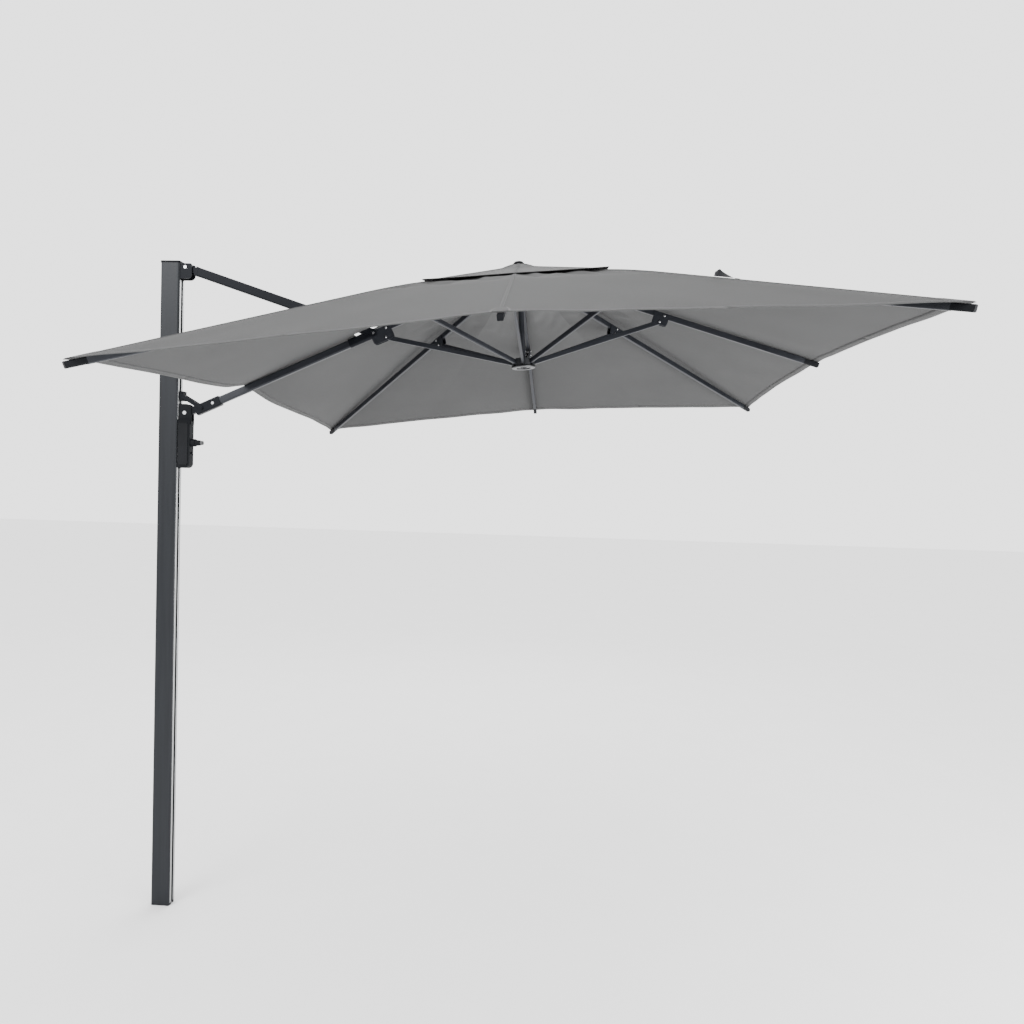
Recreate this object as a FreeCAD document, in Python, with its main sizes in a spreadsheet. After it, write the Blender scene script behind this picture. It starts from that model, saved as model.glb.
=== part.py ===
import FreeCAD, Part
import Sketcher
import math
import os

# Cantilever parasol with a 2.5 m square canopy on a slotted side mast.
# Millimetres, +Z up. Origin: centre of the mast's foot face. The canopy is on the +X side.

V = FreeCAD.Vector
doc = FreeCAD.newDocument("cantilever_parasol")
sheet = doc.addObject("Spreadsheet::Sheet", "Dimensions")

VALUES = [
    # mast extrusion
    ("mast_len", 2901), ("mast_w", 88), ("mast_d", 50), ("mast_round", 9), ("mast_wall", 3),
    ("track_in", 25), ("track_half", 16), ("track_lip", 41), ("track_open", 7),
    ("foot_plug_len", 90), ("foot_hole_rad", 5), ("foot_hole_deep", 35),
    ("foot_sx", 36), ("foot_sy", 24), ("cap_thick", 8),
    # canopy frame: centre of the canopy, tilt and hub
    ("canopy_x", 1569.9), ("canopy_z", 2651.4), ("canopy_tilt", 4.388),
    ("hub_pin_rad", 55), ("hub_pin_z", 215), ("hub_rad", 62), ("hub_low", 196), ("hub_high", 221),
    ("pin_rad", 3), ("pin_hole", 3.08),
    # ribs
    ("rib_high", 24), ("rib_wide", 16), ("rib_wall", 1.5), ("rib_start", 30),
    ("mid_reach", 1282.3), ("mid_angle", 21.262), ("corner_reach", 1790.5), ("corner_angle", 16.917),
    ("boom_angle", 19.647), ("tongue_wide", 8), ("tongue_high", 16), ("tongue_back", 8),
    ("bracket_at", 577), ("mid_bracket_at", 588), ("bracket_drop", 30), ("cheek_thick", 2.5), ("cheek_gap", 8.3),
    ("bracket_half", 33), ("rivet_head", 5.5), ("tip_len", 62), ("tip_high", 20), ("tip_wide", 18),
    # struts and runner
    ("strut_high", 20), ("strut_wide", 12), ("strut_wall", 1.5), ("strut_end", 9), ("runner_pin_rad", 45), ("runner_pin_z", -165), ("runner_rad", 50),
    ("runner_low", -186), ("runner_high", -150), ("runner_bore", 15), ("runner_slot", 13.4), ("guide_rad", 12),
    # boom
    ("boom_high", 34), ("boom_wide", 24), ("boom_wall", 2), ("head_from", 553), ("head_to", 648),
    ("lift_pin_at", 633), ("head_pin_at", 588), ("head_pin_drop", 37.7), ("coupler_len", 102),
    ("coupler_wide", 32), ("coupler_high", 40), ("coupler_top", 20), ("rivet_at", 1420.7), ("knuckle_from", 1388), ("knuckle_to", 1508),
    ("knuckle_high", 44), ("knuckle_wide", 30), ("boom_pivot_at", 1556.3), ("boom_pivot_up", 9.8),
    ("link_pin_at", 1477.5),
    # upper arm
    ("arm_x", 67), ("arm_z", 2882), ("arm_high", 40), ("arm_wide", 24), ("arm_wall", 2), ("arm_eye", 13),
    ("fork_in", 16.5), ("fork_thick", 3.5), ("fork_len", 170),
    # carriage
    ("car_x", 47), ("car_right", 100), ("car_half", 24), ("car_low", 1990), ("car_mid", 2205),
    ("car_top", 2276), ("ear_in", 11.4), ("ear_out", 15), ("crank_z", 2104), ("button_z", 2058),
    ("slider_low", 2290), ("slider_high", 2332), ("link_x", 58), ("link_z", 2312),
    # fabric
    ("half_side", 1250), ("fabric_thick", 2), ("fabric_gap", 0.9), ("ridge_gap", 2.4), ("vent_half", 363),
]
for row, (name, value) in enumerate(VALUES, 1):
    sheet.set("A%d" % row, name)
    sheet.set("B%d" % row, str(value))
    sheet.setAlias("B%d" % row, name)
doc.recompute()


class Dim:
    """A size read from the sheet, kept together with the expression that gives it."""

    def __init__(self, value, text):
        self.v, self.e = float(value), text

    @staticmethod
    def of(x):
        return x if isinstance(x, Dim) else Dim(x, repr(float(x)))

    def __add__(self, o):
        o = Dim.of(o)
        return Dim(self.v + o.v, "(%s + %s)" % (self.e, o.e))

    def __radd__(self, o):
        return Dim.of(o) + self

    def __sub__(self, o):
        o = Dim.of(o)
        return Dim(self.v - o.v, "(%s - %s)" % (self.e, o.e))

    def __rsub__(self, o):
        return Dim.of(o) - self

    def __mul__(self, o):
        o = Dim.of(o)
        return Dim(self.v * o.v, "(%s * %s)" % (self.e, o.e))

    __rmul__ = __mul__

    def __truediv__(self, o):
        o = Dim.of(o)
        return Dim(self.v / o.v, "(%s / %s)" % (self.e, o.e))

    def __neg__(self):
        return Dim(-self.v, "(-%s)" % self.e)


def D(name):
    return Dim(sheet.get(name), "Dimensions." + name)


def num(name):
    return float(sheet.get(name))


nodes = []
count = [0]


def fresh(prefix):
    count[0] += 1
    return "%s_%03d" % (prefix, count[0])


def bind(o, **sizes):
    for prop, d in sizes.items():
        d = Dim.of(d)
        setattr(o, prop, d.v)
        o.setExpression(prop, d.e)


def at(o, x=0, y=0, z=0):
    """Places o, with each coordinate bound to the sheet."""
    for axis, d in (("x", x), ("y", y), ("z", z)):
        d = Dim.of(d)
        o.setExpression("Placement.Base." + axis, d.e)


def box(x0, x1, y0, y1, z0, z1):
    x0, x1, y0, y1, z0, z1 = (Dim.of(q) for q in (x0, x1, y0, y1, z0, z1))
    o = doc.addObject("Part::Box", fresh("Block"))
    bind(o, Length=x1 - x0, Width=y1 - y0, Height=z1 - z0)
    at(o, x0, y0, z0)
    return o


def rod(radius, length, x=0, y=0, z=0, along="z", centred=False):
    """A cylinder from a point along an axis, or centred on that point."""
    radius, length = Dim.of(radius), Dim.of(length)
    o = doc.addObject("Part::Cylinder", fresh("Rod"))
    bind(o, Radius=radius, Height=length)
    turn = {"z": (V(0, 0, 1), 0), "x": (V(0, 1, 0), 90), "y": (V(1, 0, 0), -90)}[along]
    o.Placement = FreeCAD.Placement(V(0, 0, 0), FreeCAD.Rotation(*turn))
    pos = {"x": Dim.of(x), "y": Dim.of(y), "z": Dim.of(z)}
    if centred:
        pos[along] = pos[along] - length / 2
    at(o, pos["x"], pos["y"], pos["z"])
    return o


def cone(r1, r2, length, x=0, y=0, z=0, along="z"):
    o = doc.addObject("Part::Cone", fresh("Cone"))
    bind(o, Radius1=r1, Radius2=r2, Height=length)
    turn = {"z": (V(0, 0, 1), 0), "x": (V(0, 1, 0), 90), "y": (V(1, 0, 0), -90)}[along]
    o.Placement = FreeCAD.Placement(V(0, 0, 0), FreeCAD.Rotation(*turn))
    at(o, x, y, z)
    return o


def fuse(*parts):
    o = doc.addObject("Part::MultiFuse", fresh("Join"))
    o.Shapes = list(parts)
    o.Refine = True
    return o


def group(*parts):
    o = doc.addObject("Part::Compound", fresh("Set"))
    o.Links = list(parts)
    return o


def cut(base, *tools):
    tool = tools[0] if len(tools) == 1 else fuse(*tools)
    o = doc.addObject("Part::Cut", fresh("Cut"))
    o.Base, o.Tool = base, tool
    o.Refine = True
    return o


def rounded(base, radius, pick):
    """A Part::Fillet on the base's edges for which pick(edge) is true."""
    doc.recompute()
    o = doc.addObject("Part::Fillet", fresh("Round"))
    o.Base = base
    o.Edges = [(i, radius, radius) for i, e in enumerate(base.Shape.Edges, 1) if pick(e)]
    return o


def runs_along(axis):
    def test(e):
        if len(e.Vertexes) != 2 or not isinstance(e.Curve, Part.Line):
            return False
        a, b = e.Vertexes[0].Point, e.Vertexes[1].Point
        d = (b - a).normalize()
        return abs(abs(getattr(d, axis)) - 1) < 1e-6
    return test


def node(o, name, placement=None):
    """Makes o the sub-part called name, set in its place in the object's frame."""
    o.Label = name
    if placement is not None:
        o.Placement = placement
    nodes.append((name, o))
    return o


# ---------------------------------------------------------------- Part Design helpers
def new_body(name):
    body = doc.addObject("PartDesign::Body", name)
    return body


def plane_of(body, role):
    return [f for f in body.Origin.OriginFeatures if f.Role == role][0]


def new_sketch(body, role="XY_Plane"):
    sk = body.newObject("Sketcher::SketchObject", fresh("Sketch"))
    sk.AttachmentSupport = (plane_of(body, role), "")
    sk.MapMode = "FlatFace"
    return sk


def sk_rect(sk, x0, x1, y0, y1):
    """A rectangle whose four sides are dimensioned from the sketch origin."""
    x0, x1, y0, y1 = (Dim.of(q) for q in (x0, x1, y0, y1))
    g = sk.GeometryCount
    pts = [(x0.v, y0.v), (x1.v, y0.v), (x1.v, y1.v), (x0.v, y1.v)]
    for i in range(4):
        a, b = pts[i], pts[(i + 1) % 4]
        sk.addGeometry(Part.LineSegment(V(a[0], a[1], 0), V(b[0], b[1], 0)), False)
    for i in range(4):
        sk.addConstraint(Sketcher.Constraint("Coincident", g + i, 2, g + (i + 1) % 4, 1))
    for i in (0, 2):
        sk.addConstraint(Sketcher.Constraint("Horizontal", g + i))
    for i in (1, 3):
        sk.addConstraint(Sketcher.Constraint("Vertical", g + i))
    for kind, point, d in (("DistanceX", (g, 1), x0), ("DistanceX", (g + 1, 2), x1), ("DistanceY", (g, 1), y0), ("DistanceY", (g + 2, 1), y1)):
        c = Sketcher.Constraint(kind, -1, 1, point[0], point[1], d.v)
        i = sk.addConstraint(c)
        sk.setExpression("Constraints[%d]" % i, d.e)


def sk_circle(sk, radius):
    radius = Dim.of(radius)
    g = sk.addGeometry(Part.Circle(V(0, 0, 0), V(0, 0, 1), radius.v), False)
    sk.addConstraint(Sketcher.Constraint("Coincident", g, 3, -1, 1))
    i = sk.addConstraint(Sketcher.Constraint("Radius", g, radius.v))
    sk.setExpression("Constraints[%d]" % i, radius.e)


def pad(body, sk, length):
    p = body.newObject("PartDesign::Pad", fresh("Pad"))
    p.Profile = sk
    bind(p, Length=length)
    sk.Visibility = False
    return p


def pocket(body, sk, length, reverse=True):
    p = body.newObject("PartDesign::Pocket", fresh("Pocket"))
    p.Profile = sk
    bind(p, Length=length)
    p.Reversed = reverse
    return p


def polar(body, feature, axis_role, n):
    p = body.newObject("PartDesign::PolarPattern", fresh("Polar"))
    p.Originals = [feature]
    p.Axis = (plane_of(body, axis_role), [""])
    p.Angle = 360
    p.Occurrences = n
    body.Tip = p
    return p


# ---------------------------------------------------------------- frames
def rot(axis, degrees):
    return FreeCAD.Placement(V(0, 0, 0), FreeCAD.Rotation(axis, degrees))


def move(x, y, z):
    return FreeCAD.Placement(V(x, y, z), FreeCAD.Rotation())


CANOPY = move(num("canopy_x"), 0, num("canopy_z")) * rot(V(0, 1, 0), -num("canopy_tilt"))


def rib_frame(azimuth, angle):
    """Origin on the rib's hub pin, +X out along the rib, +Z square to it and up."""
    return CANOPY * rot(V(0, 0, 1), azimuth) * move(num("hub_pin_rad"), 0, num("hub_pin_z")) * rot(V(0, 1, 0), angle)


def strut_frame(azimuth, angle, along, drop):
    """Origin on the strut's bracket pin, +X towards the runner. Also gives the strut's length."""
    t = math.radians(angle)
    r = num("hub_pin_rad") + along * math.cos(t) - drop * math.sin(t)
    z = num("hub_pin_z") - along * math.sin(t) - drop * math.cos(t)
    dr, dz = num("runner_pin_rad") - r, num("runner_pin_z") - z
    length = math.hypot(dr, dz)
    fall = math.degrees(math.atan2(-dz, -dr))
    place = CANOPY * rot(V(0, 0, 1), azimuth) * move(r, 0, z) * rot(V(0, 0, 1), 180) * rot(V(0, 1, 0), fall)
    return place, length


# ---------------------------------------------------------------- mast
body = new_body("MastBody")
sk = new_sketch(body)
sk_rect(sk, -D("mast_w") / 2, D("mast_w") / 2, -D("mast_d") / 2, D("mast_d") / 2)
sk_rect(sk, -D("mast_w") / 2 + D("mast_wall"), D("track_in") - D("mast_wall"), -D("mast_d") / 2 + D("mast_wall"), D("mast_d") / 2 - D("mast_wall"))
sk_rect(sk, D("track_in"), D("track_lip"), -D("track_half"), D("track_half"))
pad(body, sk, D("mast_len"))
sk = new_sketch(body)
sk_rect(sk, D("track_lip") - 1, D("mast_w") / 2 + 1, -D("track_open"), D("track_open"))
pocket(body, sk, D("mast_len"))
doc.recompute()
prior = body.Tip
corner = []
for i, e in enumerate(prior.Shape.Edges, 1):
    if runs_along("z")(e):
        p = e.Vertexes[0].Point
        if abs(abs(p.x) - num("mast_w") / 2) < 0.01 and abs(abs(p.y) - num("mast_d") / 2) < 0.01:
            corner.append("Edge%d" % i)
f = body.newObject("PartDesign::Fillet", fresh("Fillet"))
f.Base = (prior, corner)
bind(f, Radius=D("mast_round"))
body.Tip = f
node(body, "mast_profile")

plug = box(-D("mast_w") / 2 + D("mast_wall") + 0.2, D("track_in") - D("mast_wall") - 0.2, -D("mast_d") / 2 + D("mast_wall") + 0.2, D("mast_d") / 2 - D("mast_wall") - 0.2, 0, D("foot_plug_len"))
# four threaded holes in the plug's lower face, centred on x = -9.5
cx = -9.5
holes = [rod(D("foot_hole_rad"), D("foot_hole_deep") + 1, x=cx + sx * D("foot_sx") / 2, y=sy * D("foot_sy") / 2, z=-1) for sx in (-1, 1) for sy in (-1, 1)]
node(cut(plug, *holes), "foot_plug")
node(rounded(box(-D("mast_w") / 2 - 1, D("mast_w") / 2 + 1, -D("mast_d") / 2 - 1, D("mast_d") / 2 + 1, D("mast_len"), D("mast_len") + D("cap_thick")), 7, runs_along("z")), "mast_top_cap")

# top bracket: web against the mast and two cheeks for the upper arm
zt = D("mast_len")
outer = box(D("mast_w") / 2, D("mast_w") / 2 + 53, -19, 19, zt - 70, zt - 2)
tooled = cut(outer, box(D("mast_w") / 2 + 6, D("mast_w") / 2 + 60, -D("arm_eye") - 0.6, D("arm_eye") + 0.6, zt - 80, zt + 5))
low = rounded(tooled, 22, lambda e: runs_along("y")(e) and e.Vertexes[0].Point.x > 90 and e.Vertexes[0].Point.z < 2850)
high = rounded(low, 9, lambda e: runs_along("y")(e) and e.Vertexes[0].Point.x > 90 and e.Vertexes[0].Point.z > 2880)
node(cut(high, rod(4.05, 60, x=D("arm_x"), y=0, z=D("arm_z"), along="y", centred=True)), "top_bracket")
node(fuse(rod(4, 38.4, x=D("arm_x"), z=D("arm_z"), along="y", centred=True), rod(7, 2.5, x=D("arm_x"), y=-21.6, z=D("arm_z"), along="y"), rod(7, 2.5, x=D("arm_x"), y=19.1, z=D("arm_z"), along="y")), "top_pivot_pin")
node(group(*[fuse(rod(6.5, 4, x=D("mast_w") / 2 + 6, y=0, z=zt - dz, along="x"), rod(3.5, 5, x=D("mast_w") / 2 + 9.9, y=0, z=zt - dz, along="x")) for dz in (48,)]), "bracket_bolt")

# ---------------------------------------------------------------- carriage
zl, zm = D("car_low"), D("car_mid")
shell = box(D("car_x"), D("car_right"), -D("car_half"), D("car_half"), zl, zm)
shell = rounded(shell, 20, lambda e: runs_along("y")(e) and e.Vertexes[0].Point.x > 80 and e.Vertexes[0].Point.z < 2000)
shell = rounded(shell, 7, lambda e: runs_along("z")(e) and e.Vertexes[0].Point.x > 90)
ears = box(D("car_x"), D("car_right") + 3, -D("ear_out"), D("ear_out"), zm - 20, D("car_top"))
ears = rounded(ears, 22, lambda e: runs_along("y")(e) and e.Vertexes[0].Point.x > 90 and e.Vertexes[0].Point.z > 2260)
boss = rod(17, 20, x=D("car_right") - 1, z=D("crank_z"), along="x")
whole = fuse(shell, ears, boss)
gap = box(D("car_x") + 8, D("car_right") + 10, -D("ear_in"), D("ear_in"), zm - 6, D("car_top") + 5)
pivot = rib_frame(180, num("boom_angle")).multVec(V(num("boom_pivot_at"), 0, num("boom_pivot_up")))
pivot_hole = rod(5.05, 60, x=pivot.x, z=pivot.z, along="y", centred=True)
crank_hole = rod(6.06, 40, x=D("car_right") - 14, z=D("crank_z"), along="x")
button_hole = rod(5.5, 30, x=D("car_right") - 12, z=D("button_z"), along="x")
node(cut(whole, gap, pivot_hole, crank_hole, button_hole), "carriage_housing")
node(fuse(box(D("track_lip") - 1.5, D("car_x"), -D("track_open") + 1, D("track_open") - 1, zl + 12, D("car_top") - 6), box(D("track_in") + 2, D("track_lip") - 1, -D("track_half") + 1, D("track_half") - 1, zl + 12, D("car_top") - 6)), "slide_shoe")
cover = rounded(box(D("car_x") + 4, D("car_right") - 6, -D("car_half") - 3.5, -D("car_half"), zl + 14, zm - 14), 8, runs_along("y"))
node(cover, "carriage_cover")
node(fuse(rod(5, 30.8, x=pivot.x, z=pivot.z, along="y", centred=True), rod(8, 2.5, x=pivot.x, y=-17.9, z=pivot.z, along="y"), rod(8, 2.5, x=pivot.x, y=15.4, z=pivot.z, along="y")), "boom_pivot_pin")

# crank socket that turns in the carriage's boss, with its steel drive end
xb = D("car_right") + 19.4
spindle = fuse(rod(6, 32, x=D("car_right") - 12, z=D("crank_z"), along="x"), cone(14, 11.5, 22, x=xb, z=D("crank_z"), along="x"))
node(spindle, "crank_socket")
hexagon = doc.addObject("Part::Prism", fresh("Hexagon"))
hexagon.Polygon = 6
bind(hexagon, Circumradius=9.5, Height=12)
hexagon.Placement = FreeCAD.Placement(V(0, 0, 0), FreeCAD.Rotation(V(0, 1, 0), 90))
at(hexagon, xb + 22, 0, D("crank_z"))
ring = rod(5, 14, x=xb + 21, z=D("crank_z"), along="x")
ring.Height = 14
tipcut = cut(hexagon, rod(4, 20, x=xb + 22.01, z=D("crank_z"), along="x"))
node(tipcut, "crank_drive_end")
doc.removeObject(ring.Name)
node(rounded(rod(5.3, 16, x=D("car_right") - 9, z=D("button_z"), along="x"), 1.6, lambda e: e.BoundBox.XMin > 98), "carriage_plug")

# small slider above the carriage, and the link from it to the boom's knuckle
node(fuse(box(D("car_x"), D("car_x") + 19, -15, 15, D("slider_low"), D("slider_high")), box(D("track_lip") - 1.5, D("car_x") + 1, -D("track_open") + 1, D("track_open") - 1, D("slider_low"), D("slider_high")), box(D("track_in") + 2, D("track_lip") - 1, -D("track_half") + 1, D("track_half") - 1, D("slider_low"), D("slider_high")), rod(4, 38.2, x=D("link_x"), z=D("link_z"), along="y", centred=True)), "link_slider")
knuckle_pin = rib_frame(180, num("boom_angle")).multVec(V(num("link_pin_at"), 0, 0))
ldx, ldz = knuckle_pin.x - num("link_x"), knuckle_pin.z - num("link_z")
link_len, link_fall = math.hypot(ldx, ldz), math.degrees(math.atan2(-ldz, ldx))


def link_side(sign):
    a, b = sorted((sign * 15.5, sign * 18.5))
    bar = box(0, link_len, a, b, -9, 9)
    ends = [rod(9, 3, x=x, y=a, along="y") for x in (0, link_len)]
    return cut(fuse(bar, *ends), rod(4.08, 60, along="y", centred=True))


LINK = move(num("link_x"), 0, num("link_z")) * rot(V(0, 1, 0), link_fall)
node(group(fuse(link_side(-1), rod(6.5, 2, x=link_len, y=-20.5, along="y")), fuse(link_side(1), rod(6.5, 2, x=link_len, y=18.5, along="y"))), "tilt_link", LINK)

# ---------------------------------------------------------------- boom, in the frame of its own rib line
BOOM = rib_frame(180, num("boom_angle"))


def tube(x0, x1, wide, high, wall, round_by):
    outer_box = rounded(box(x0, x1, -wide / 2, wide / 2, -high / 2, high / 2), round_by, runs_along("x"))
    inside = box(x0 - 1, x1 + 1, -wide / 2 + wall, wide / 2 - wall, -high / 2 + wall, high / 2 - wall)
    return cut(outer_box, rounded(inside, max(round_by - wall.v, 1), runs_along("x")))


def rib_solid(start, reach, holes=()):
    body_tube = tube(start, reach, D("rib_wide"), D("rib_high"), D("rib_wall"), 3)
    tongue = box(-D("tongue_back"), D("rib_start") + 30, -D("tongue_wide") / 2, D("tongue_wide") / 2, -D("tongue_high") / 2, D("tongue_high") / 2)
    block = box(D("rib_start"), D("rib_start") + 30, -D("rib_wide") / 2 + 1, D("rib_wide") / 2 - 1, -D("rib_high") / 2 + 1, D("rib_high") / 2 - 1)
    return cut(fuse(body_tube, tongue, block), rod(D("pin_hole"), 40, along="y", centred=True), *holes)


node(rib_solid(D("rib_start"), D("head_to"), [rod(3.05, 40, x=D("head_pin_at") - 16, along="y", centred=True)]), "inner_rib", BOOM)


def cheeks(x0, x1, z0, z1, rounds):
    out = []
    for sign in (-1, 1):
        a = D("cheek_gap") if sign > 0 else -D("cheek_gap") - D("cheek_thick")
        plate = box(x0, x1, a, a + D("cheek_thick"), z0, z1)
        out.append(rounded(plate, rounds, lambda e: runs_along("y")(e) and e.Vertexes[0].Point.z < 0))
    return out


def rivet(x, z, through=True):
    reach = D("cheek_gap") + D("cheek_thick")
    heads = [rod(D("rivet_head"), 2, x=x, y=reach, z=z, along="y"), rod(D("rivet_head"), 2, x=x, y=-reach - 2, z=z, along="y")]
    return [rod(D("pin_rad"), reach * 2, x=x, z=z, along="y", centred=True)] + heads


head = fuse(*cheeks(D("head_from"), D("head_to"), -D("head_pin_drop") - 14, 11, 14), *rivet(D("head_pin_at"), -D("head_pin_drop")), *rivet(D("head_pin_at") - 16, 0))
node(head, "boom_head", BOOM)
sleeve = rounded(box(D("head_to") + 0.1, D("head_to") + D("coupler_len"), -D("coupler_wide") / 2, D("coupler_wide") / 2, D("coupler_top") - D("coupler_high"), D("coupler_top")), 11, runs_along("x"))
node(cut(sleeve, box(D("head_to") + 40, D("head_to") + D("coupler_len") + 5, -D("boom_wide") / 2 - 0.1, D("boom_wide") / 2 + 0.1, -D("boom_high") / 2 - 0.1, D("boom_high") / 2 + 0.1)), "boom_coupler", BOOM)
node(tube(D("head_to") + 41, D("knuckle_to") - 20, D("boom_wide"), D("boom_high"), D("boom_wall"), 7), "boom_tube", BOOM)
heads = [rod(6, 3, x=D("lift_pin_at"), y=y, along="y") for y in (D("cheek_gap") + D("cheek_thick"), -D("cheek_gap") - D("cheek_thick") - 3)]
block = rounded(box(D("knuckle_from"), D("knuckle_to"), -D("knuckle_wide") / 2, D("knuckle_wide") / 2, -D("knuckle_high") / 2, D("knuckle_high") / 2), 6, runs_along("x"))
lug = box(D("knuckle_to") - 10, D("boom_pivot_at"), -D("ear_in") + 0.6, D("ear_in") - 0.6, -8, 22)
eye = rod(15, (D("ear_in") - 0.6) * 2, x=D("boom_pivot_at"), z=D("boom_pivot_up"), along="y", centred=True)
knuckle = cut(fuse(block, lug, eye), rod(5.08, 60, x=D("boom_pivot_at"), z=D("boom_pivot_up"), along="y", centred=True), box(D("knuckle_from") - 5, D("knuckle_to") - 20, -D("boom_wide") / 2 - 0.1, D("boom_wide") / 2 + 0.1, -D("boom_high") / 2 - 0.1, D("boom_high") / 2 + 0.1))
node(knuckle, "boom_knuckle", BOOM)
heads += [rod(6, 2, x=D("rivet_at"), y=y, along="y") for y in (D("knuckle_wide") / 2, -D("knuckle_wide") / 2 - 2)]
node(group(*heads), "boom_rivets", BOOM)

# ---------------------------------------------------------------- upper arm
lift_pin = BOOM.multVec(V(num("lift_pin_at"), 0, 0))
adx, adz = lift_pin.x - num("arm_x"), lift_pin.z - num("arm_z")
arm_len, arm_fall = math.hypot(adx, adz), math.degrees(math.atan2(-adz, adx))
ARM = move(num("arm_x"), 0, num("arm_z")) * rot(V(0, 1, 0), arm_fall)
node(tube(56, arm_len - D("fork_len"), D("arm_wide"), D("arm_high"), D("arm_wall"), 6), "upper_arm_tube", ARM)
eye_end = fuse(rod(14, D("arm_eye") * 2 - 1, along="y", centred=True), box(0, 56, -D("arm_eye") + 0.5, D("arm_eye") - 0.5, -13, 13), box(44, 56, -D("arm_wide") / 2, D("arm_wide") / 2, -D("arm_high") / 2, D("arm_high") / 2))
node(cut(eye_end, rod(4.08, 60, along="y", centred=True)), "upper_arm_eye", ARM)
sides = []
for sign in (-1, 1):
    a = D("fork_in") if sign > 0 else -D("fork_in") - D("fork_thick")
    sides.append(box(arm_len - D("fork_len"), arm_len, a, a + D("fork_thick"), -17, 17))
    sides.append(rod(17, D("fork_thick"), x=arm_len, y=a, along="y"))
bridge = box(arm_len - D("fork_len"), arm_len - D("fork_len") + 14, -D("fork_in") - D("fork_thick"), D("fork_in") + D("fork_thick"), -17, 17)
node(cut(fuse(bridge, *sides), rod(7, 60, x=arm_len, along="y", centred=True)), "upper_arm_fork", ARM)

# ---------------------------------------------------------------- hub and runner
body = new_body("HubBody")
sk = new_sketch(body)
sk_circle(sk, D("hub_rad"))
pad(body, sk, D("hub_high") - D("hub_low"))
sk = new_sketch(body)
sk_rect(sk, D("hub_pin_rad") - 13, D("hub_rad") + 10, -D("tongue_wide") / 2 - 0.4, D("tongue_wide") / 2 + 0.4)
slot = pocket(body, sk, D("hub_high") - D("hub_low"))
doc.recompute()
polar(body, slot, "Z_Axis", 8)
pins = []
for k in range(8):
    p = rod(D("pin_rad") + 0.05, 30, along="y", centred=True)
    q = group(p)
    q.Placement = rot(V(0, 0, 1), 45 * k) * move(num("hub_pin_rad"), 0, num("hub_pin_z") - num("hub_low"))
    pins.append(q)
node(cut(body, *pins), "hub_casting", CANOPY * move(0, 0, num("hub_low")))
pins = []
for k in range(8):
    p = rod(D("pin_rad"), 24, along="y", centred=True)
    q = group(p)
    q.Placement = rot(V(0, 0, 1), 45 * k) * move(num("hub_pin_rad"), 0, num("hub_pin_z"))
    pins.append(q)
node(group(*pins), "hub_pins", CANOPY)
node(cut(rod(D("guide_rad"), D("hub_low") - D("runner_high") + 10, z=D("runner_high") - 10), rod(D("guide_rad") - 2, 500, z=-200)), "guide_tube", CANOPY)
node(rounded(fuse(rod(18, 41, z=D("hub_high")), cone(26, 18, 9, z=262)), 2, lambda e: e.BoundBox.ZMin > 270), "crown_post", CANOPY)

body = new_body("RunnerBody")
sk = new_sketch(body)
sk_circle(sk, D("runner_rad"))
sk_circle(sk, D("runner_bore"))
pad(body, sk, D("runner_high") - D("runner_low"))
sk = new_sketch(body)
sk_rect(sk, 25, D("runner_rad") + 10, -D("runner_slot") / 2, D("runner_slot") / 2)
slot = pocket(body, sk, D("runner_high") - D("runner_low"))
doc.recompute()
polar(body, slot, "Z_Axis", 8)
node(body, "runner", CANOPY * move(0, 0, num("runner_low")))

def strut_solid(length):
    """A strut along +X from its bracket pin at the origin to its runner pin, with a plug in each end."""
    end, w, t, c = D("strut_end"), D("strut_wide"), D("strut_high"), D("strut_wall")
    skin = tube(-end, length + 5, w, t, c, 3)
    plugs = [box(a, b, -w / 2 + c - 0.2, w / 2 - c + 0.2, -t / 2 + c - 0.2, t / 2 - c + 0.2) for a, b in ((-end + 1, 22), (length - 22, length + 4))]
    return cut(fuse(skin, *plugs), rod(D("pin_hole"), 40, along="y", centred=True))


# ---------------------------------------------------------------- ribs, brackets, tips and struts
RIBS = [(k, 45.0 * (k - 1) + 180.0) for k in range(2, 9)]
for k, azimuth in RIBS:
    corner_rib = k % 2 == 0
    kind = "corner" if corner_rib else "mid"
    frame = rib_frame(azimuth, num(kind + "_angle"))
    reach = D(kind + "_reach")
    seat = D("bracket_at") if corner_rib else D("mid_bracket_at")
    node(rib_solid(D("rib_start"), reach - D("tip_len"), [rod(3.05, 40, x=seat + 12, along="y", centred=True)]), "rib_%d" % k, frame)
    plate = fuse(*cheeks(seat - D("bracket_half"), seat + D("bracket_half"), -D("bracket_drop") - 12, 8, 12), *rivet(seat, -D("bracket_drop")), *rivet(seat + 12, 0))
    node(plate, "rib_bracket_%d" % k, frame)
    tip_box = box(reach - D("tip_len") + 0.1, reach, -D("tip_wide") / 2, D("tip_wide") / 2, -D("tip_high") / 2 - 1, 10)
    tip_box = rounded(tip_box, 4, lambda e: runs_along("x")(e) or (runs_along("y")(e) and e.BoundBox.XMax > reach.v - 1 and e.BoundBox.ZMax < 0))
    node(tip_box, "rib_tip_%d" % k, frame)
    place, length = strut_frame(azimuth, num(kind + "_angle"), seat.v, num("bracket_drop"))
    node(strut_solid(length), "strut_%d" % k, place)

place, length = strut_frame(180, num("boom_angle"), num("head_pin_at"), num("head_pin_drop"))
node(strut_solid(length), "strut_1", place)


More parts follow.
